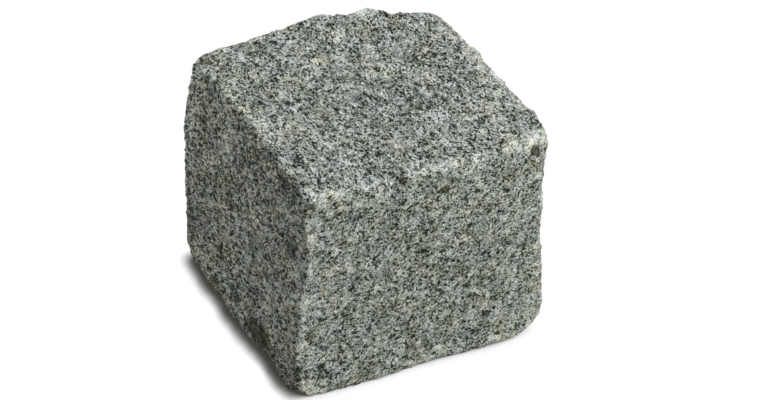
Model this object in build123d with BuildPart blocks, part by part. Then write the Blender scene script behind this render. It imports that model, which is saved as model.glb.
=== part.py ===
"""Granite paving sett: one block of grey granite, cropped on all six sides.

The stone is shaped here as it is in the yard: a raw block is split along six rough surfaces, which break
into flat plates, its corners are knocked off, flakes and crumbs come out of its arrises, and shallow
flakes come off its faces.

Millimetres, +Z up. The stone stands on its foot at Z = 0 with its head uppermost, and its front looks
along -Y. The origin is the middle of the foot.
"""
import os
import random

from build123d import *

# Driving dimensions
LENGTH = 100.0  # along X, from the left side to the right side
WIDTH = 101.0  # along Y, from the front to the back
HEIGHT = 89.0  # along Z, from the foot to the head

# Splitting
HEAD_RELIEF = 4.0  # how far a broad split surface departs from a true plane
SIDE_RELIEF = 4.0
FOOT_RELIEF = 4.0
PLATE_SPAN = 13.0  # about how far apart the ridges of a split face lie
PLATE_RISE = 0.8  # how far ridges and valleys depart from the broad split surface
RAW_MARGIN = 10.0  # waste stone outside the true block, split off on five sides
OVERRUN = 2.0  # how far a split surface runs past the raw block

# Dressing of the edges
KNOCK_REACH = 10.0  # how far a corner facet reaches along an arris
SPALL_DEPTH = 2.5  # depth of a flake out of an arris
SPALL_RADIUS = 14.0  # radius of the hollow scar that it leaves
CRUMB_SPAN = 14.0  # about how far apart crumbs come out of an arris
CRUMB_DEPTH = 0.6
CRUMB_RADIUS = 24.0

# Dressing of the faces
FLAKE_DEPTH = 1.0  # depth of a shallow flake off a face
FLAKE_RADIUS = 60.0  # radius of the hollow scar that it leaves

# Chance: how far ridges and crumbs stray from even spacing, as a share of it, and the least and most of a
# crumb's depth and radius. The same name always gives the same stone.
STRAY_SHARE = 0.3
CRUMB_DEPTH_SHARES = (0.4, 1.4)
CRUMB_RADIUS_SHARES = (0.5, 1.5)
rough = random.Random("sett 12")

# Each split face is a net of heights, as shares of its relief, seen square on from outside the stone.
# A row runs from left to right. The first row is the lowest, or the front of the head, or the back of
# the foot.
HEAD_SHARES = [
    [0.0, -0.7, -0.9, -0.5, 0.2, 0.5],
    [0.1, -0.3, -0.4, -0.3, 0.1, 0.7],
    [0.1, 0.0, -0.2, -0.2, -0.1, 0.6],
    [0.2, 0.2, 0.1, -0.2, 0.0, 0.5],
    [0.2, 0.4, 0.7, 0.4, 0.3, 0.2],
    [0.3, 0.4, 1.1, 2.4, 1.3, -0.2],
]
FRONT_SHARES = [
    [0.4, 0.5, 0.4, 0.1, -0.4, -0.7],
    [0.3, 0.3, 0.2, 0.0, -0.2, -0.5],
    [0.1, 0.1, 0.1, 0.1, 0.0, -0.3],
    [0.1, 0.0, 0.0, 0.1, 0.1, -0.1],
    [0.1, 0.0, -0.1, 0.0, 0.1, 0.0],
    [0.2, 0.1, 0.0, 0.1, 0.0, -0.1],
]
LEFT_SHARES = [
    [0.9, 1.0, 1.0, 0.9, 0.8, 0.6],
    [1.1, 1.0, 0.8, 0.7, 0.6, 0.7],
    [1.3, 0.9, 0.5, 0.3, 0.2, 0.5],
    [1.2, 0.8, 0.2, 0.0, -0.3, 0.0],
    [0.6, 0.3, 0.0, -0.2, -0.4, -0.3],
    [-0.3, -0.3, -0.3, -0.5, -0.7, -0.6],
]
RIGHT_SHARES = [
    [-0.1, 0.0, 0.2, 0.1, 0.2],
    [0.2, 0.2, 0.1, -0.1, 0.1],
    [-0.6, 0.0, 0.3, 0.2, 0.0],
    [-0.9, 0.0, 0.2, 0.2, 0.1],
    [-1.1, 0.5, 0.6, 0.0, -0.1],
]
BACK_SHARES = [
    [-0.2, 0.0, 0.1, 0.0, 0.0],
    [-0.1, 0.2, 0.1, -0.1, 0.2],
    [0.0, 0.4, 0.2, 0.1, 0.3],
    [-0.2, 0.5, 0.8, 0.6, 0.3],
    [-0.4, 0.6, 1.3, 1.0, 0.3],
]
# The foot bears on Z = 0. Its split runs up into the stone where a share is negative, round the edges.
FOOT_SHARES = [
    [-0.8, -0.4, 0.3, -0.5, -0.9, -0.6],
    [-1.3, 0.6, 0.9, 0.8, 0.5, -0.4],
    [-1.6, 0.6, 1.0, 1.0, 0.7, -0.9],
    [-1.7, 0.5, 1.0, 1.0, 0.7, -0.6],
    [-1.5, 0.6, 0.8, 0.6, 0.5, -0.9],
    [-0.6, 0.5, -0.7, -1.1, -1.8, -1.6],
]

# Planes of the true block, each looking out of the stone
half_length = LENGTH / 2
half_width = WIDTH / 2
half_height = HEIGHT / 2
middle = Vector(0, 0, half_height)
HEAD = Plane((0, 0, HEIGHT), x_dir=(1, 0, 0), z_dir=(0, 0, 1))
FOOT = Plane((0, 0, 0), x_dir=(1, 0, 0), z_dir=(0, 0, -1))
FRONT = Plane((0, -half_width, half_height), x_dir=(1, 0, 0), z_dir=(0, -1, 0))
BACK = Plane((0, half_width, half_height), x_dir=(-1, 0, 0), z_dir=(0, 1, 0))
LEFT = Plane((-half_length, 0, half_height), x_dir=(0, -1, 0), z_dir=(-1, 0, 0))
RIGHT = Plane((half_length, 0, half_height), x_dir=(0, 1, 0), z_dir=(1, 0, 0))

# The arrises: the two faces that meet there
ARRISES = [
    (HEAD, FRONT),
    (HEAD, LEFT),
    (HEAD, BACK),
    (HEAD, RIGHT),
    (FRONT, LEFT),
    (FRONT, RIGHT),
    (LEFT, BACK),
    (RIGHT, BACK),
    (FOOT, FRONT),
    (FOOT, LEFT),
    (FOOT, BACK),
    (FOOT, RIGHT),
]

# Corner facets: the three faces that meet there, and how far the facet reaches away from each of them,
# as shares of the knock's reach.
KNOCK_SHARES = [
    (HEAD, LEFT, BACK, (0.5, 0.6, 0.4)),
    (HEAD, RIGHT, BACK, (0.9, 0.5, 1.1)),
    (HEAD, FRONT, RIGHT, (0.4, 0.5, 0.3)),
    (HEAD, FRONT, LEFT, (0.4, 0.3, 0.4)),
    (FOOT, FRONT, RIGHT, (0.8, 0.6, 0.9)),
    (FOOT, FRONT, LEFT, (0.5, 0.7, 0.6)),
    (FOOT, LEFT, BACK, (0.7, 0.5, 0.6)),
    (FOOT, RIGHT, BACK, (0.6, 0.7, 0.9)),
]

# Flakes out of the arrises: the two faces that meet there, the place along the arris as a share of its
# length, from left, front or foot, and shares of the spall's depth and radius.
SPALL_SHARES = [
    (HEAD, FRONT, 0.33, 0.8, 2.0),
    (HEAD, FRONT, 0.62, 0.3, 0.8),
    (HEAD, LEFT, 0.30, 0.5, 1.0),
    (HEAD, LEFT, 0.62, 0.4, 1.2),
    (HEAD, BACK, 0.88, 1.1, 1.9),
    (HEAD, BACK, 1.00, 1.8, 1.0),
    (HEAD, RIGHT, 0.52, 0.4, 1.2),
    (FRONT, RIGHT, 0.77, 0.7, 0.7),
    (FRONT, RIGHT, 0.45, 0.4, 1.2),
    (FRONT, LEFT, 0.70, 0.4, 0.8),
    (FRONT, LEFT, 0.40, 0.4, 1.0),
    (LEFT, BACK, 0.30, 0.5, 1.6),
    (RIGHT, BACK, 0.35, 1.0, 1.4),
    (FOOT, LEFT, 0.26, 0.5, 0.7),
    (FOOT, LEFT, 0.64, 0.3, 0.7),
    (FOOT, FRONT, 0.35, 0.3, 1.0),
    (FOOT, RIGHT, 0.55, 0.9, 1.2),
    (FOOT, BACK, 0.60, 0.7, 1.4),
]


def cleft(plane, across, along, relief, height_shares):
    """Broad split surface over one face of the block, running past the raw block on every side."""
    spare = RAW_MARGIN + OVERRUN
    columns = len(height_shares[0])
    rows = len(height_shares)
    net = []
    for column in range(columns):
        x = (across + 2 * spare) * (column / (columns - 1) - 0.5)
        line = []
        for row in range(rows):
            y = (along + 2 * spare) * (row / (rows - 1) - 0.5)
            line.append(plane.from_local_coords((x, y, relief * height_shares[row][column])))
        net.append(line)
    return Face.make_surface_from_array_of_points(net)


def plate_corner(plane, surface, across_share, along_share):
    """Corner of a plate: a point of a broad split surface, pushed out or in."""
    rise = PLATE_RISE * rough.uniform(-1, 1)
    return surface.position_at(across_share, along_share) + plane.z_dir * rise


def broken(plane, surface, across, along):
    """Broad split surface as it breaks: flat plates that meet at ridges and valleys."""
    spare = RAW_MARGIN + OVERRUN
    columns = round((across + 2 * spare) / PLATE_SPAN)
    rows = round((along + 2 * spare) / PLATE_SPAN)
    net = []
    for column in range(columns + 1):
        line = []
        for row in range(rows + 1):
            on_rim = column in (0, columns) or row in (0, rows)
            stray_share = 0 if on_rim else STRAY_SHARE
            across_share = (column + rough.uniform(-stray_share, stray_share)) / columns
            along_share = (row + rough.uniform(-stray_share, stray_share)) / rows
            line.append(plate_corner(plane, surface, across_share, along_share))
        net.append(line)
    plates = []
    for column in range(columns):
        for row in range(rows):
            near = net[column][row]
            right = net[column + 1][row]
            far = net[column + 1][row + 1]
            left = net[column][row + 1]
            halves = [(near, right, far), (near, far, left)]
            if (column + row) % 2:
                halves = [(near, right, left), (right, far, left)]
            plates += [Face(Wire.make_polygon(half)) for half in halves]
    return Shell(plates)


def raw_block():
    """Raw block with waste stone on five sides, already flat where the foot bears."""
    Box(
        LENGTH + 2 * RAW_MARGIN,
        WIDTH + 2 * RAW_MARGIN,
        HEIGHT + RAW_MARGIN,
        align=(Align.CENTER, Align.CENTER, Align.MIN),
    )


def meeting_of(*planes):
    """Where faces of the true block meet: the middle of an arris, or a corner."""
    return sum((plane.origin - middle for plane in planes), middle)


def corner_facet(corner, planes, reach_shares):
    """Plane across a corner, through a point on each of the three arrises that run from it."""
    reaches = [KNOCK_REACH * share for share in reach_shares]
    lean = sum((plane.z_dir / reach for plane, reach in zip(planes, reaches)), Vector())
    return Plane(corner - planes[0].z_dir * reaches[0], z_dir=lean)


def arris_run(plane, other):
    """Direction and length of an arris of the true block."""
    run = plane.z_dir.cross(other.z_dir)
    run = Vector(abs(run.X), abs(run.Y), abs(run.Z))
    return run, run.dot(Vector(LENGTH, WIDTH, HEIGHT))


def scar(stone, plane, other, place_share, depth, radius):
    """Ball that leaves a hollow scar in an arris of the stone, at a share of the true arris's length."""
    run, size = arris_run(plane, other)
    arris = arrises.sort_by_distance(meeting_of(plane, other))[0]
    true_point = meeting_of(plane, other) + run * (size * (place_share - 0.5))
    broad_point = arris.distance_to_with_closest_points(true_point)[1]
    outward = (plane.z_dir + other.z_dir).normalized()
    stone_point = stone.distance_to_with_closest_points(broad_point + outward * SPALL_RADIUS)[1]
    return Solid.make_sphere(radius, Plane(stone_point + outward * (radius - depth)))


head_cleft = cleft(HEAD, LENGTH, WIDTH, HEAD_RELIEF, HEAD_SHARES)
foot_cleft = cleft(FOOT, LENGTH, WIDTH, FOOT_RELIEF, FOOT_SHARES)
front_cleft = cleft(FRONT, LENGTH, HEIGHT, SIDE_RELIEF, FRONT_SHARES)
back_cleft = cleft(BACK, LENGTH, HEIGHT, SIDE_RELIEF, BACK_SHARES)
left_cleft = cleft(LEFT, WIDTH, HEIGHT, SIDE_RELIEF, LEFT_SHARES)
right_cleft = cleft(RIGHT, WIDTH, HEIGHT, SIDE_RELIEF, RIGHT_SHARES)

# The splits: the face, its broad surface, and the true face's extent across and along
SPLITS = [
    (FOOT, foot_cleft, LENGTH, WIDTH),
    (HEAD, head_cleft, LENGTH, WIDTH),
    (FRONT, front_cleft, LENGTH, HEIGHT),
    (BACK, back_cleft, LENGTH, HEIGHT),
    (LEFT, left_cleft, WIDTH, HEIGHT),
    (RIGHT, right_cleft, WIDTH, HEIGHT),
]

# Shallow flakes off the faces: the face, its broad surface, the middle of the flake as shares of that
# surface's extent across and along, and shares of the flake's depth and radius.
FLAKE_SHARES = [
    (HEAD, head_cleft, 0.68, 0.76, 0.9, 1.0),
    (HEAD, head_cleft, 0.32, 0.66, 0.8, 1.2),
    (HEAD, head_cleft, 0.76, 0.32, 0.7, 0.8),
    (HEAD, head_cleft, 0.28, 0.30, 0.6, 1.0),
    (FRONT, front_cleft, 0.30, 0.68, 0.6, 1.0),
    (FRONT, front_cleft, 0.38, 0.32, 0.7, 1.2),
    (FRONT, front_cleft, 0.70, 0.34, 0.6, 0.9),
    (LEFT, left_cleft, 0.32, 0.64, 0.7, 1.0),
    (LEFT, left_cleft, 0.66, 0.70, 0.6, 1.1),
    (LEFT, left_cleft, 0.70, 0.32, 0.8, 0.9),
    (RIGHT, right_cleft, 0.35, 0.60, 0.8, 1.1),
    (BACK, back_cleft, 0.66, 0.62, 0.9, 1.2),
]

# Block split along the broad surfaces alone, whose arrises and corners place the dressing
with BuildPart() as broad:
    raw_block()
    for _, surface, _, _ in SPLITS:
        split(bisect_by=surface, keep=Keep.BOTTOM)
arrises = broad.edges()
corners = broad.vertices()

with BuildPart() as sett:
    # Six splits
    raw_block()
    for plane, surface, across, along in SPLITS:
        split(bisect_by=broken(plane, surface, across, along), keep=Keep.BOTTOM)

    # Corners knocked off
    for *planes, reach_shares in KNOCK_SHARES:
        corner = corners.sort_by_distance(meeting_of(*planes))[0]
        split(bisect_by=corner_facet(corner.center(), planes, reach_shares), keep=Keep.BOTTOM)

    # Flakes spalled out of the arrises
    for plane, other, place_share, depth_share, radius_share in SPALL_SHARES:
        depth = SPALL_DEPTH * depth_share
        radius = SPALL_RADIUS * radius_share
        add(scar(sett.part, plane, other, place_share, depth, radius), mode=Mode.SUBTRACT)

    # Crumbs out of the arrises, a whole arris at a time
    for plane, other in ARRISES:
        count = round(arris_run(plane, other)[1] / CRUMB_SPAN)
        crumbs = []
        for place in range(count):
            place_share = (place + 0.5 + rough.uniform(-STRAY_SHARE, STRAY_SHARE)) / count
            depth = CRUMB_DEPTH * rough.uniform(*CRUMB_DEPTH_SHARES)
            radius = CRUMB_RADIUS * rough.uniform(*CRUMB_RADIUS_SHARES)
            crumbs.append(scar(sett.part, plane, other, place_share, depth, radius))
        add(crumbs, mode=Mode.SUBTRACT)

    # Shallow flakes off the faces
    for plane, surface, across_share, along_share, depth_share, radius_share in FLAKE_SHARES:
        radius = FLAKE_RADIUS * radius_share
        lift = radius - FLAKE_DEPTH * depth_share
        with Locations(surface.position_at(across_share, along_share) + plane.z_dir * lift):
            Sphere(radius, mode=Mode.SUBTRACT)

os.makedirs("parts", exist_ok=True)
sett.part.label = "sett"
export_step(sett.part, "parts/sett.step")
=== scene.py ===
"""Granite paving sett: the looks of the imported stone.

The split faces get the relief that breaking leaves, the arrises crumble, and the stone gets its feldspar,
quartz and mica. Metres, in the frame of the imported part.
"""
import math

import bmesh
import bpy
import numpy as np
from mathutils import Matrix, Vector, noise


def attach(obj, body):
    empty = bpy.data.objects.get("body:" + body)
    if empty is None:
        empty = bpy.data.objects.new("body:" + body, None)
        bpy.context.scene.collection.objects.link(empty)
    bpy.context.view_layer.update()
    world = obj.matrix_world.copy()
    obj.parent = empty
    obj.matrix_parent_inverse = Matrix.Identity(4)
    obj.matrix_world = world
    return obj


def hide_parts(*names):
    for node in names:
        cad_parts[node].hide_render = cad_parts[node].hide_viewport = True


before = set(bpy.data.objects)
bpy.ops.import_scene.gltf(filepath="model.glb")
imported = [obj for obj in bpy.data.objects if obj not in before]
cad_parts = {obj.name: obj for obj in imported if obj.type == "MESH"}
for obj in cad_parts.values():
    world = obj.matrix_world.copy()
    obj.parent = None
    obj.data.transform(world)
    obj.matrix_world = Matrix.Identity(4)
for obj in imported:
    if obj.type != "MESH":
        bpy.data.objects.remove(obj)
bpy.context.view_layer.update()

MM = 0.001

# The skin of the stone
MERGE_DISTANCE = 0.002 * MM
SKIN_PITCH = 0.8 * MM  # spacing of the skin's points

# Relief of the split faces
CREASE_ROUNDS = 24  # rounds of averaging that soften the ridges between plates
CREASE_LIMIT = 0.15  # how near an arris the softening ends
SWELL_LENGTH = 8 * MM
SWELL_HEIGHT = 0.35 * MM
SWELL_LAYERS = (0.8, 2.1, 3)  # how fast finer swells fade, how much finer each is, and how many
CELL_PICK = 53  # spreads the cells' centres, so that neighbours draw unlike values
FACET_LENGTH = 3.6 * MM
FACET_LEAN = 0.24
STIR_LENGTH = 0.4 * FACET_LENGTH  # the facets' outlines are stirred, so that none is a clean polygon
STIR_REACH = 0.16 * FACET_LENGTH
STIR_SEED = 12  # without a seed, noise_vector draws by the clock
GRAIN_LENGTH = 1.5 * MM
GRAIN_HEIGHT = 0.22 * MM

# Crumbled arrises
ARRIS_ROUNDS = 8  # rounds of averaging, which set how wide an arris counts
ARRIS_TURN = 0.2  # loss of the averaged normal's length at a full arris
WEAR_ROUNDS = 16  # rounds of averaging that wear the arrises round
WEAR_SHARE = 0.7
ARRIS_BAND_ROUNDS = 28  # rounds of averaging, which set how far the band along an arris spreads
ARRIS_BAND_FULL = 0.35
CHIP_LENGTH = 3.2 * MM
CHIP_DEPTH = 0.8 * MM
CHIP_RARITY = 4  # a higher power leaves fewer deep chips

# Swellings and a dip of two arrises, the head's at the back and the foot's at the side:
# place, radius and shift in millimetres
ARRIS_LUMPS = [
    ((23.2, 52.0, 92.3), 10.0, (0, 0, 2.6)),
    ((33.5, 52.0, 90.0), 5.5, (0, 0, -1.0)),
    ((42.5, 50.0, 88.5), 7.0, (0, 0, 2.2)),
    ((-53.3, 24.0, 4.0), 13.0, (-1.3, 0, 0)),
    ((-53.3, 8.0, 4.0), 13.0, (-1.5, 0, 0)),
    ((-53.3, -8.0, 4.0), 12.0, (-1.3, 0, 0)),
]

# Patches that show on the faces: place and radius in millimetres
BROWN_STAINS = [
    ((-10.3, -49.9, 85.2), 2.2),
    ((-45.9, -50.8, 83.0), 2.4),
    ((-53.4, -15.5, 9.0), 6.5),
    ((-53.0, -22.0, 10.0), 7.0),
    ((6.4, -50.4, 77.4), 2.2),
    ((17.4, -50.9, 59.1), 1.5),
    ((26.6, -50.2, 16.1), 2.0),
    ((3.4, -50.8, 8.3), 1.8),
    ((43.1, -50.8, 85.3), 3.2),
]
RUST_SPECKS = [((-41.1, -50.7, 45.5), 1.2)]
BROWN_GRAINS = [((-53.3, -19.5, 4.0), 5.5), ((-53.3, -25.0, 5.7), 6.0)]
# Flashes where more grains get a painted glint, a highlight painted into the colour
PAINTED_GLINT_PATCHES = [
    ((6.5, 43.0, 92.3), 4.0),
    ((-9.0, 45.0, 92.2), 2.5),
    ((17.5, 16.0, 89.0), 6.0),
    ((-32.7, -37.5, 87.8), 3.0),
]
FELDSPAR_PATCHES = [
    ((10.8, -49.6, 87.1), 2.6),
    ((-21.5, -50.0, 69.7), 2.2),
    ((-36.6, -50.5, 61.8), 2.6),
    ((15.7, -50.9, 54.0), 2.0),
    ((-39.7, -51.5, 16.1), 4.0),
    ((6.0, -50.7, 5.6), 2.6),
    ((26.5, -49.9, 3.8), 2.6),
    ((-42.3, -52.1, 1.7), 2.6),
    ((27.0, -50.3, 21.1), 2.0),
    ((-53.6, 42.5, 59.7), 6.0),
    ((-51.7, 32.0, 55.6), 6.5),
    ((-51.9, 40.8, 74.1), 5.5),
    ((-9.1, 29.6, 90.8), 2.4),
    ((15.9, 3.8, 88.1), 2.4),
    ((6.8, 15.3, 88.5), 3.0),
    ((-48.7, -51.8, 6.1), 4.0),
    ((-48.5, -51.0, 30.0), 3.5),
    ((-53.4, 9.0, 2.5), 4.0),
    ((-53.4, 0.0, 2.5), 4.5),
    ((-53.4, -8.0, 3.0), 4.0),
    ((-46.5, 10.0, 89.5), 3.2),
    ((-46.5, -12.3, 89.0), 3.6),
    ((-45.2, -34.0, 88.0), 3.6),
    ((-46.0, -47.0, 86.0), 4.5),
    ((-48.2, -50.5, 69.6), 3.6),
    ((-48.8, -50.2, 57.0), 3.6),
    ((-49.5, -50.6, 44.0), 4.0),
    ((-50.0, -51.0, 20.0), 3.6),
]

# Camera
VIEW_AZIMUTH = math.radians(-25.51)
VIEW_ELEVATION = math.radians(33.61)
VIEW_ROLL = math.radians(1.5)
VIEW_DISTANCE = 1212 * MM
VIEW_CENTRE = Vector((2.65, -4.83, 45.66)) * MM
LENS = 152.24  # millimetres, on a sensor 36 mm wide

# Studio
FLOOR_SIZE = 6.0
FLOOR_GREY = (0.27, 0.26, 0.24, 1)
SHADOW_REACH = 6.5 * MM
SHADOW_LEAN = (0.70, -0.50, 0.43)
SHADOW_TONES = [(0.42, (0.05, 0.05, 0.043, 1)), (0.985, (1, 1, 1, 1))]  # by the share of open sky
SKY_STRENGTH = 0.15
# Name, place, size, power and colour
SOFTBOXES = [
    ("front_softbox", Vector((0.22, -0.56, 0.34)), 0.40, 4.02, (1.0, 1.0, 1.0)),
    ("head_softbox", Vector((0.28, 0.04, 0.56)), 0.30, 1.12, (1.01, 1.0, 1.14)),
    ("side_softbox", Vector((-0.30, 0.40, 0.35)), 0.20, 1.66, (1.0, 1.0, 0.94)),
]

# Granite: sizes of its grains and clouds
GRAIN_STRETCH = 1.8
GRAIN_DIP = math.radians(19)
HACKLE_SLANT = math.radians(40)
HACKLE_STRETCH = 4
HACKLE_SIZE = 0.8 * MM
CRYSTAL_SIZE = 1.5 * MM
SUGAR_SIZE = 0.5 * MM
FINE_SIZE = 0.42 * MM
DOMAIN_SIZE = 2.6 * MM
CLUSTER_SIZE = 8 * MM
BOOK_SIZE = 1.0 * MM
FLAKE_SIZE = 0.65 * MM
SPECK_SIZE = 0.55 * MM
BRUISE_AND_HIGHLIGHT_SIZE = 8 * MM
WEAR_AND_HIGHLIGHT_SIZE = 6 * MM
FINE_GRIME_AND_SHADE_SIZE = 1.5 * MM
BROAD_GRIME_AND_SHADE_SIZE = 12 * MM
WARMTH_SIZE = 7 * MM
RAGGED_SIZE = 1.6 * MM
WARP_SIZE = 0.9 * MM
WARP_REACH = 0.7 * MM
PIT_SIZE = 0.7 * MM
PIT_DEPTH = 0.4 * MM

# Granite: where clouds are looked up, so that no two of them agree
SPECK_PLACE = (0.83, 0.41, 0.29)
FINE_GRIME_AND_SHADE_PLACE = (0.57, 0.23, 0.91)
BROAD_GRIME_AND_SHADE_PLACE = (0.19, 0.67, 0.43)
WARMTH_PLACE = (0.12, 0.71, 0.37)

# Granite: from where to where a pattern counts as a book of mica, a bruise with its painted highlight and
# so on
BOOK_RANGE = (0.92, 0.95)
FLAKE_RANGE = (0.77, 0.80)
SPECK_RANGE = (0.63, 0.655)
PAINTED_GLINT_RANGE = (0.955, 0.965)
BRUISE_AND_HIGHLIGHT_RANGE = (0.40, 0.58)
WEAR_AND_HIGHLIGHT_RANGE = (0.40, 0.60)
PATCH_RANGE = (0.05, 0.55)
CROWDING = 0.45  # how far mica keeps to the dark domains
SPECK_CROWDING = -0.15
PAINTED_FLASH_GLINTS = 0.3  # how many more grains get a painted glint in a flash patch

# Granite: what each pattern adds to the lightness
LIGHTNESS = 0.622
MIDDLE_LIGHTNESS = 0.56
CRYSTAL_SHARE = 0.12
SUGAR_SHARE = 0.36
FINE_SHARE = 0.85
DOMAIN_SHARE = 0.6
CLUSTER_SHARE = 0.45
BRUISE_AND_HIGHLIGHT_SHARE = 0.155
CREAM_SHARE = 0.17
MICA_SHARE = -0.54
MICA_LOST = 0.5  # share of the mica that the pale arris band, bruise and painted highlight, hides
PAINTED_GLINT_SHARE = 0.26
HACKLE_SHARE = 0.4
HOLLOW_SHADE_SHARE = -0.08
# The left-hand side's fine and broad blotches and the contrast of the side and the front are partly grime
# and grain, partly painted shade of the relief
FINE_GRIME_AND_SHADE_SHARE = 1.25
BROAD_GRIME_AND_SHADE_SHARE = 0.5
SIDE_CONTRAST = 0.28
FRONT_CONTRAST = -0.16

# Granite: colours by lightness, tints by warmth, and the colours of patches
MINERAL_TONES = [
    (0.12, (0.0105, 0.013, 0.0065)),
    (0.26, (0.0455, 0.0545, 0.0335)),
    (0.39, (0.113, 0.127, 0.098)),
    (0.51, (0.205, 0.223, 0.187)),
    (0.63, (0.330, 0.352, 0.307)),
    (0.745, (0.494, 0.515, 0.463)),
    (0.88, (0.740, 0.750, 0.690)),
]
WARMTH_TINTS = [
    (0.36, (0.94, 1.0, 1.085)),
    (0.46, (0.965, 1.0, 1.02)),
    (0.54, (0.985, 1.0, 0.985)),
    (0.64, (1.02, 1.0, 0.90)),
]
CREAM_TINT = (1.0, 1.0, 0.965, 1)
BRUISE_AND_HIGHLIGHT_CREAM = 0.5
STAIN_TINT = (0.20, 0.19, 0.15, 1)
BROWN_TINT = (0.56, 0.50, 0.38, 1)
RUST_COLOUR = (0.55, 0.40, 0.19, 1)
RUST_SHARE = 0.6

# Granite: sheen and fine pits
LEAST_ROUGHNESS = 0.5
ROUGHNESS_SPREAD = 0.35
SHEEN = 0.12
PIT_SHARE = 1.2
HACKLE_RELIEF = 1.6


def stone_skin(node, name):
    """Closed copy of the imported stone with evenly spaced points."""
    shell = bmesh.new()
    shell.from_mesh(node.data)
    bmesh.ops.remove_doubles(shell, verts=shell.verts, dist=MERGE_DISTANCE)
    mesh = bpy.data.meshes.new(name)
    shell.to_mesh(mesh)
    shell.free()
    stone = bpy.data.objects.new(name, mesh)
    bpy.context.scene.collection.objects.link(stone)
    even = stone.modifiers.new("even_skin", "REMESH")
    even.mode = "VOXEL"
    even.voxel_size = SKIN_PITCH
    even.use_smooth_shade = True
    evaluated = stone.evaluated_get(bpy.context.evaluated_depsgraph_get())
    stone.data = bpy.data.meshes.new_from_object(evaluated)
    stone.modifiers.clear()
    return stone


def skin_arrays(mesh):
    """Points, normals and edges of a mesh, as arrays."""
    points = np.empty(len(mesh.vertices) * 3, np.float32)
    mesh.vertices.foreach_get("co", points)
    normals = np.empty(len(mesh.vertices) * 3, np.float32)
    mesh.vertices.foreach_get("normal", normals)
    edges = np.empty(len(mesh.edges) * 2, np.int32)
    mesh.edges.foreach_get("vertices", edges)
    return points.reshape(-1, 3), normals.reshape(-1, 3), edges.reshape(-1, 2)


def spread(values, edges, rounds):
    """Values at the points, averaged with their neighbours over and over."""
    starts, ends = edges.T
    count = np.bincount(edges.ravel(), minlength=len(values))[:, None] + 1
    for _ in range(rounds):
        total = values.copy()
        for axis in range(values.shape[1]):
            total[:, axis] += np.bincount(starts, values[ends, axis], len(values))
            total[:, axis] += np.bincount(ends, values[starts, axis], len(values))
        values = total / count
    return values


def facet_rise(place, length):
    """Rise of a broken surface of flat facets, each leaning its own way, for a lean of one."""
    spot = place / length
    centre = noise.voronoi(spot)[1][0]
    lean = noise.cell_vector(centre * CELL_PICK) - Vector((0.5, 0.5, 0.5))
    return (spot - centre).dot(lean) * length


def chip_depth(place, length):
    """Depth of the crumbs lost along an arris: none, shallow or deep, grain by grain."""
    centre = noise.voronoi(place / length)[1][0]
    return noise.cell_vector(centre * CELL_PICK).x ** CHIP_RARITY


def facing(normals, axis):
    """How squarely each point looks out along the axis, towards its low end."""
    return np.clip(-normals[:, axis], 0, 1) ** 2


def add_relief(stone):
    """Moves the skin's points as splitting leaves them, and stores what the material reads."""
    points, normals, edges = skin_arrays(stone.data)
    broad = spread(normals, edges, ARRIS_ROUNDS)
    length = np.linalg.norm(broad, axis=1)
    broad /= length[:, None]
    side = facing(broad, 0)
    arris = np.clip((1 - length) / ARRIS_TURN, 0, 1)
    bruise = spread(arris[:, None], edges, ARRIS_BAND_ROUNDS)[:, 0]
    softening = np.clip(1 - bruise / CREASE_LIMIT, 0, 1)[:, None]
    softened = points + (spread(points, edges, CREASE_ROUNDS) - points) * softening
    softened += (spread(points, edges, WEAR_ROUNDS) - points) * arris[:, None] * WEAR_SHARE
    noise.seed_set(STIR_SEED)
    rise = np.empty(len(points))
    texture = np.empty(len(points))
    for index, point in enumerate(points):
        place = Vector(point)
        stir = noise.noise_vector(place / STIR_LENGTH) * STIR_REACH
        texture[index] = (
            FACET_LEAN * facet_rise(place + stir, FACET_LENGTH)
            + GRAIN_HEIGHT * noise.noise(place / GRAIN_LENGTH)
        )
        rise[index] = (
            SWELL_HEIGHT * noise.fractal(place / SWELL_LENGTH, *SWELL_LAYERS)
            - CHIP_DEPTH * arris[index] * chip_depth(place + stir, CHIP_LENGTH)
        )
    moved = softened + broad * (rise + texture)[:, None]
    for place, radius, shift in ARRIS_LUMPS:
        distance = np.linalg.norm(points - np.array(place) * MM, axis=1) / (radius * MM)
        moved += np.array(shift) * MM * ((1 - np.clip(distance, 0, 1) ** 2) ** 2)[:, None]
    moved[:, 2] = np.maximum(moved[:, 2], 0)
    stone.data.vertices.foreach_set("co", moved.astype(np.float32).ravel())
    # The arrises are bruised pale and lit by a painted highlight on the faces other than the left-hand
    # side, which lies in shade
    store(stone.data, "arris", arris * (1 - side))
    store(stone.data, "bruise", np.clip(bruise * (1 - side) / ARRIS_BAND_FULL, 0, 1))
    # Darker in the hollows of the relief: painted shade
    store(stone.data, "hollow_shade", np.clip(-texture / (2 * texture.std()), 0, 1))
    store(stone.data, "front", facing(broad, 1))
    store(stone.data, "side", side)
    stone.data.update()


def store(mesh, name, values):
    """Keeps a value for each point of a mesh, for the material to read."""
    mesh.attributes.new(name, "FLOAT", "POINT").data.foreach_set("value", values.astype(np.float32))


def add_patches(stone, name, patches):
    """Stores how far each point lies inside patches of another colour."""
    points = skin_arrays(stone.data)[0]
    inside = np.full(len(points), -1.0)
    for place, radius in patches:
        nearest = points[np.argmin(np.linalg.norm(points - np.array(place) * MM, axis=1))]
        distance = np.linalg.norm(points - nearest, axis=1)
        inside = np.maximum(inside, 1 - distance / (radius * MM))
    store(stone.data, name, inside)


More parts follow.
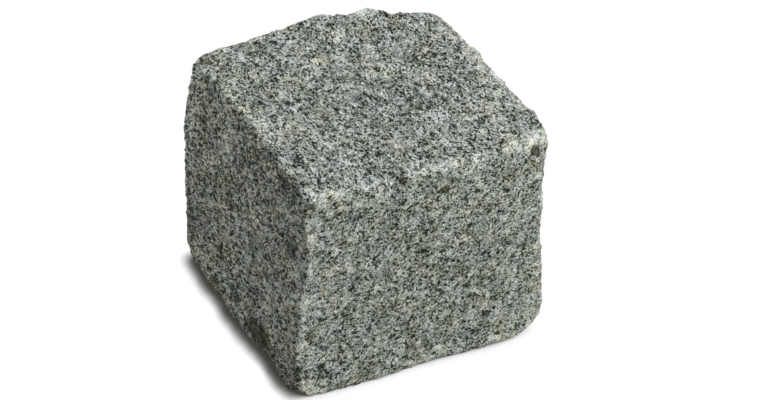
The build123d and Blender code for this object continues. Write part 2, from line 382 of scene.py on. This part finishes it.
def granite():
    """Grey granite: grains of feldspar, quartz and mica, bruised pale along the arrises, with painted
    highlights on the arrises and on glinting grains, painted shade in the hollows and partly painted shade
    on the left-hand side.
    """
    material = bpy.data.materials.new("split_granite")
    material.use_nodes = True
    tree = material.node_tree
    links = tree.links

    def node(kind, **settings):
        made = tree.nodes.new(kind)
        for key, value in settings.items():
            setattr(made, key, value)
        return made

    def feed(socket, value):
        if isinstance(value, bpy.types.NodeSocket):
            links.new(value, socket)
        else:
            socket.default_value = value

    def maths(operation, first, second):
        made = node("ShaderNodeMath", operation=operation)
        feed(made.inputs[0], first)
        feed(made.inputs[1], second)
        return made.outputs[0]

    def centred(value):
        return maths("SUBTRACT", value, 0.5)

    def share_of(value, share):
        return maths("MULTIPLY", value, share)

    def vector_maths(operation, first, second=None, scale=None):
        made = node("ShaderNodeVectorMath", operation=operation)
        feed(made.inputs[0], first)
        if second is not None:
            feed(made.inputs[1], second)
        if scale is not None:
            feed(made.inputs["Scale"], scale)
        return made.outputs[0]

    def clouds(place, size, detail=2.0, roughness=0.5):
        made = node("ShaderNodeTexNoise")
        feed(made.inputs["Vector"], place)
        made.inputs["Scale"].default_value = 1 / size
        made.inputs["Detail"].default_value = detail
        made.inputs["Roughness"].default_value = roughness
        return made

    def grains(place, size):
        made = node("ShaderNodeTexVoronoi")
        feed(made.inputs["Vector"], place)
        made.inputs["Scale"].default_value = 1 / size
        made.inputs["Randomness"].default_value = 1
        return made

    def ramp(value, stops):
        made = node("ShaderNodeValToRGB")
        elements = made.color_ramp.elements
        while len(elements) < len(stops):
            elements.new(1.0)
        for element, (position, colour) in zip(elements, stops):
            element.position = position
            element.color = (*colour, 1)
        feed(made.inputs["Fac"], value)
        return made.outputs["Color"]

    def mix(share, first, second, blend="MIX"):
        made = node("ShaderNodeMix", data_type="RGBA", blend_type=blend)
        feed(made.inputs["Factor"], share)
        feed(made.inputs[6], first)
        feed(made.inputs[7], second)
        return made.outputs[2]

    def tinted(colour, tint):
        return mix(1.0, colour, tint, "MULTIPLY")

    def rising(value, low, high):
        made = node("ShaderNodeMapRange", interpolation_type="SMOOTHSTEP")
        feed(made.inputs["Value"], value)
        made.inputs["From Min"].default_value = low
        made.inputs["From Max"].default_value = high
        return made.outputs["Result"]

    def stored(name):
        return node("ShaderNodeAttribute", attribute_name=name).outputs["Fac"]

    shader = tree.nodes["Principled BSDF"]

    def turned_place(turn, stretch):
        placed = node("ShaderNodeMapping", vector_type="TEXTURE")
        links.new(node("ShaderNodeTexCoord").outputs["Object"], placed.inputs["Vector"])
        placed.inputs["Rotation"].default_value = turn
        placed.inputs["Scale"].default_value = stretch
        return placed.outputs["Vector"]

    # The grain lies drawn out along the stone's width, and dips towards the back
    place = turned_place((-GRAIN_DIP, 0, 0), (1, GRAIN_STRETCH, 1))

    # Grain outlines are warped so that no cell is a clean polygon
    warp = vector_maths("SUBTRACT", clouds(place, WARP_SIZE).outputs["Color"], (0.5, 0.5, 0.5))
    warped = vector_maths("ADD", place, vector_maths("SCALE", warp, scale=WARP_REACH))
    ragged = clouds(place, RAGGED_SIZE, 3.0).outputs["Fac"]

    def random_grains(size):
        picks = node("ShaderNodeSeparateColor")
        feed(picks.inputs[0], grains(warped, size).outputs["Color"])
        return picks.outputs

    def patch(name):
        return rising(maths("ADD", stored(name), centred(ragged)), *PATCH_RANGE)

    def elsewhere(offset):
        return vector_maths("ADD", place, offset)

    # Pale grains, large and small, in domains and clusters, and painted glints: highlights painted into
    # the colour
    crystal = random_grains(CRYSTAL_SIZE)
    sugar = random_grains(SUGAR_SIZE)
    fine = clouds(place, FINE_SIZE).outputs["Fac"]
    domain = clouds(place, DOMAIN_SIZE, 3.0, 0.55).outputs["Fac"]
    cluster = clouds(place, CLUSTER_SIZE, 4.0, 0.6).outputs["Fac"]
    cream = patch("feldspar")
    painted_glint = rising(maths("ADD", sugar[1], share_of(patch("painted_flash"), PAINTED_FLASH_GLINTS)), *PAINTED_GLINT_RANGE)

    # Bruises along the arrises, with a painted highlight where the arrises catch the light
    bruised = rising(clouds(place, BRUISE_AND_HIGHLIGHT_SIZE, 3.0).outputs["Fac"], *BRUISE_AND_HIGHLIGHT_RANGE)
    bruised = maths("MULTIPLY", stored("bruise"), bruised)
    wear_and_highlight = rising(clouds(place, WEAR_AND_HIGHLIGHT_SIZE).outputs["Fac"], *WEAR_AND_HIGHLIGHT_RANGE)
    wear_and_highlight = maths("MULTIPLY", stored("arris"), wear_and_highlight)

    # Mica in books, flakes and specks
    crowding = share_of(centred(domain), CROWDING)
    books = rising(maths("SUBTRACT", random_grains(BOOK_SIZE)[0], crowding), *BOOK_RANGE)
    flakes = rising(maths("SUBTRACT", random_grains(FLAKE_SIZE)[0], crowding), *FLAKE_RANGE)
    specks = clouds(elsewhere(SPECK_PLACE), SPECK_SIZE, 1.5).outputs["Fac"]
    specks = maths("ADD", specks, share_of(centred(cluster), SPECK_CROWDING))
    specks = rising(specks, *SPECK_RANGE)
    mica = maths("MAXIMUM", books, maths("MAXIMUM", flakes, specks))
    mica = maths("MULTIPLY", mica, maths("SUBTRACT", 1.0, share_of(bruised, MICA_LOST)))

    # Slanting streaks that the break left on the front
    slanting = turned_place((0, -HACKLE_SLANT, 0), (HACKLE_STRETCH, 1, 1))
    streaks = clouds(slanting, HACKLE_SIZE, 1.0).outputs["Fac"]
    hackle = maths("MULTIPLY", stored("front"), centred(streaks))

    lightness = LIGHTNESS
    for value, share in (
        (centred(crystal[0]), CRYSTAL_SHARE),
        (centred(sugar[0]), SUGAR_SHARE),
        (centred(fine), FINE_SHARE),
        (centred(domain), DOMAIN_SHARE),
        (centred(cluster), CLUSTER_SHARE),
        # pale bruising and a painted highlight along the arrises
        (maths("MAXIMUM", bruised, wear_and_highlight), BRUISE_AND_HIGHLIGHT_SHARE),
        (cream, CREAM_SHARE),
        (mica, MICA_SHARE),
        # painted glints, highlights painted into the colour
        (painted_glint, PAINTED_GLINT_SHARE),
        (hackle, HACKLE_SHARE),
        # painted shade in the hollows of the relief
        (stored("hollow_shade"), HOLLOW_SHADE_SHARE),
    ):
        lightness = maths("ADD", lightness, share_of(value, share))

    # The left-hand side gets dark blotches, and its grain stands out more than that of the front: partly
    # grime and grain, partly painted shade of its relief
    fine_grime_and_shade = centred(clouds(elsewhere(FINE_GRIME_AND_SHADE_PLACE), FINE_GRIME_AND_SHADE_SIZE, 3.0).outputs["Fac"])
    broad_grime_and_shade = centred(clouds(elsewhere(BROAD_GRIME_AND_SHADE_PLACE), BROAD_GRIME_AND_SHADE_SIZE).outputs["Fac"])
    grime_and_shade = maths("ADD", share_of(fine_grime_and_shade, FINE_GRIME_AND_SHADE_SHARE), share_of(broad_grime_and_shade, BROAD_GRIME_AND_SHADE_SHARE))
    contrast = maths(
        "ADD", share_of(stored("side"), SIDE_CONTRAST), share_of(stored("front"), FRONT_CONTRAST)
    )
    contrast = maths("MULTIPLY", contrast, maths("SUBTRACT", lightness, MIDDLE_LIGHTNESS))
    lightness = maths("SUBTRACT", lightness, maths("MULTIPLY", stored("side"), grime_and_shade))
    lightness = maths("ADD", lightness, contrast)

    warmth = clouds(elsewhere(WARMTH_PLACE), WARMTH_SIZE, 5.0, 0.72).outputs["Fac"]
    colour = tinted(ramp(lightness, MINERAL_TONES), ramp(warmth, WARMTH_TINTS))
    creamy = maths("MAXIMUM", cream, share_of(bruised, BRUISE_AND_HIGHLIGHT_CREAM))
    colour = mix(creamy, colour, tinted(colour, CREAM_TINT))
    colour = mix(patch("stain"), colour, tinted(colour, STAIN_TINT))
    colour = mix(patch("brown"), colour, tinted(colour, BROWN_TINT))
    colour = mix(share_of(patch("rust"), RUST_SHARE), colour, RUST_COLOUR)
    feed(shader.inputs["Base Color"], colour)
    feed(
        shader.inputs["Roughness"],
        maths("ADD", share_of(crystal[1], ROUGHNESS_SPREAD), LEAST_ROUGHNESS),
    )
    shader.inputs["Specular IOR Level"].default_value = SHEEN

    bump = node("ShaderNodeBump")
    bump.inputs["Strength"].default_value = 1.0
    bump.inputs["Distance"].default_value = PIT_DEPTH
    pits = clouds(place, PIT_SIZE, 3.0).outputs["Fac"]
    heights = maths("ADD", crystal[2], share_of(pits, PIT_SHARE))
    heights = maths("ADD", heights, share_of(hackle, HACKLE_RELIEF))
    feed(bump.inputs["Height"], heights)
    feed(shader.inputs["Normal"], bump.outputs["Normal"])
    return material


def looked_at(nodes, links):
    """One where a ray comes from the camera or from a reflection, nought where light is gathered."""
    rays = nodes.new("ShaderNodeLightPath")
    either = nodes.new("ShaderNodeMath")
    either.operation = "MAXIMUM"
    links.new(rays.outputs["Is Camera Ray"], either.inputs[0])
    links.new(rays.outputs["Is Glossy Ray"], either.inputs[1])
    any_of_three = nodes.new("ShaderNodeMath")
    any_of_three.operation = "MAXIMUM"
    links.new(either.outputs[0], any_of_three.inputs[0])
    links.new(rays.outputs["Is Transmission Ray"], any_of_three.inputs[1])
    return any_of_three.outputs[0]


def add_floor():
    """White studio floor with the stone's contact shadow on it."""
    floor_mesh = bpy.data.meshes.new("floor")
    sheet = bmesh.new()
    bmesh.ops.create_grid(sheet, x_segments=1, y_segments=1, size=FLOOR_SIZE / 2)
    sheet.to_mesh(floor_mesh)
    sheet.free()
    floor = bpy.data.objects.new("floor", floor_mesh)
    bpy.context.scene.collection.objects.link(floor)
    paper = bpy.data.materials.new("white_paper")
    paper.use_nodes = True
    nodes = paper.node_tree.nodes
    links = paper.node_tree.links
    nodes.remove(nodes["Principled BSDF"])
    matt = nodes.new("ShaderNodeBsdfDiffuse")
    matt.inputs["Color"].default_value = FLOOR_GREY
    lean = nodes.new("ShaderNodeCombineXYZ")
    for socket, value in zip(lean.inputs, Vector(SHADOW_LEAN).normalized()):
        socket.default_value = value
    contact = nodes.new("ShaderNodeAmbientOcclusion")
    contact.inputs["Distance"].default_value = SHADOW_REACH
    links.new(lean.outputs[0], contact.inputs["Normal"])
    shade = nodes.new("ShaderNodeValToRGB")
    shade.color_ramp.interpolation = "EASE"
    for element, (open_share, colour) in zip(shade.color_ramp.elements, SHADOW_TONES):
        element.position = open_share
        element.color = colour
    links.new(contact.outputs["AO"], shade.inputs["Fac"])
    white = nodes.new("ShaderNodeEmission")
    links.new(shade.outputs["Color"], white.inputs["Color"])
    surface = nodes.new("ShaderNodeMixShader")
    links.new(looked_at(nodes, links), surface.inputs["Fac"])
    links.new(matt.outputs[0], surface.inputs[1])
    links.new(white.outputs[0], surface.inputs[2])
    links.new(surface.outputs[0], nodes["Material Output"].inputs["Surface"])
    floor_mesh.materials.append(paper)


def add_light():
    """Three softboxes, before the stone, above it and high at its side, and a dim sky that looks white."""
    for name, place, size, power, colour in SOFTBOXES:
        lamp = bpy.data.lights.new(name, "AREA")
        lamp.shape = "DISK"
        lamp.size = size
        lamp.energy = power
        lamp.color = colour
        softbox = bpy.data.objects.new(name, lamp)
        softbox.location = place
        softbox.rotation_euler = (place - VIEW_CENTRE).to_track_quat("Z", "Y").to_euler()
        bpy.context.scene.collection.objects.link(softbox)

    world = bpy.data.worlds.new("studio")
    world.use_nodes = True
    nodes = world.node_tree.nodes
    links = world.node_tree.links
    sky = nodes["Background"]
    sky.inputs["Color"].default_value = (1, 1, 1, 1)
    strength = nodes.new("ShaderNodeMix")
    strength.inputs["A"].default_value = SKY_STRENGTH
    strength.inputs["B"].default_value = 1.0
    links.new(looked_at(nodes, links), strength.inputs["Factor"])
    links.new(strength.outputs["Result"], sky.inputs["Strength"])
    bpy.context.scene.world = world


def add_camera():
    """Camera at the photograph's angle."""
    lens = bpy.data.cameras.new("camera")
    lens.lens = LENS
    camera = bpy.data.objects.new("camera", lens)
    turn = (
        Matrix.Rotation(VIEW_AZIMUTH, 4, "Z")
        @ Matrix.Rotation(math.pi / 2 - VIEW_ELEVATION, 4, "X")
        @ Matrix.Rotation(VIEW_ROLL, 4, "Z")
    )
    back = turn.to_3x3() @ Vector((0, 0, 1))
    camera.matrix_world = Matrix.Translation(VIEW_CENTRE + back * VIEW_DISTANCE) @ turn
    bpy.context.scene.collection.objects.link(camera)
    bpy.context.scene.camera = camera


stone = stone_skin(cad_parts["sett"], "split_stone")
add_relief(stone)
for name, patches in (
    ("stain", BROWN_STAINS),
    ("rust", RUST_SPECKS),
    ("brown", BROWN_GRAINS),
    ("painted_flash", PAINTED_GLINT_PATCHES),
    ("feldspar", FELDSPAR_PATCHES),
):
    add_patches(stone, name, patches)
stone.data.materials.clear()
stone.data.materials.append(granite())
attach(stone, "root")
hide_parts("sett")

add_floor()
add_light()
add_camera()
bpy.context.scene.view_settings.view_transform = "Standard"
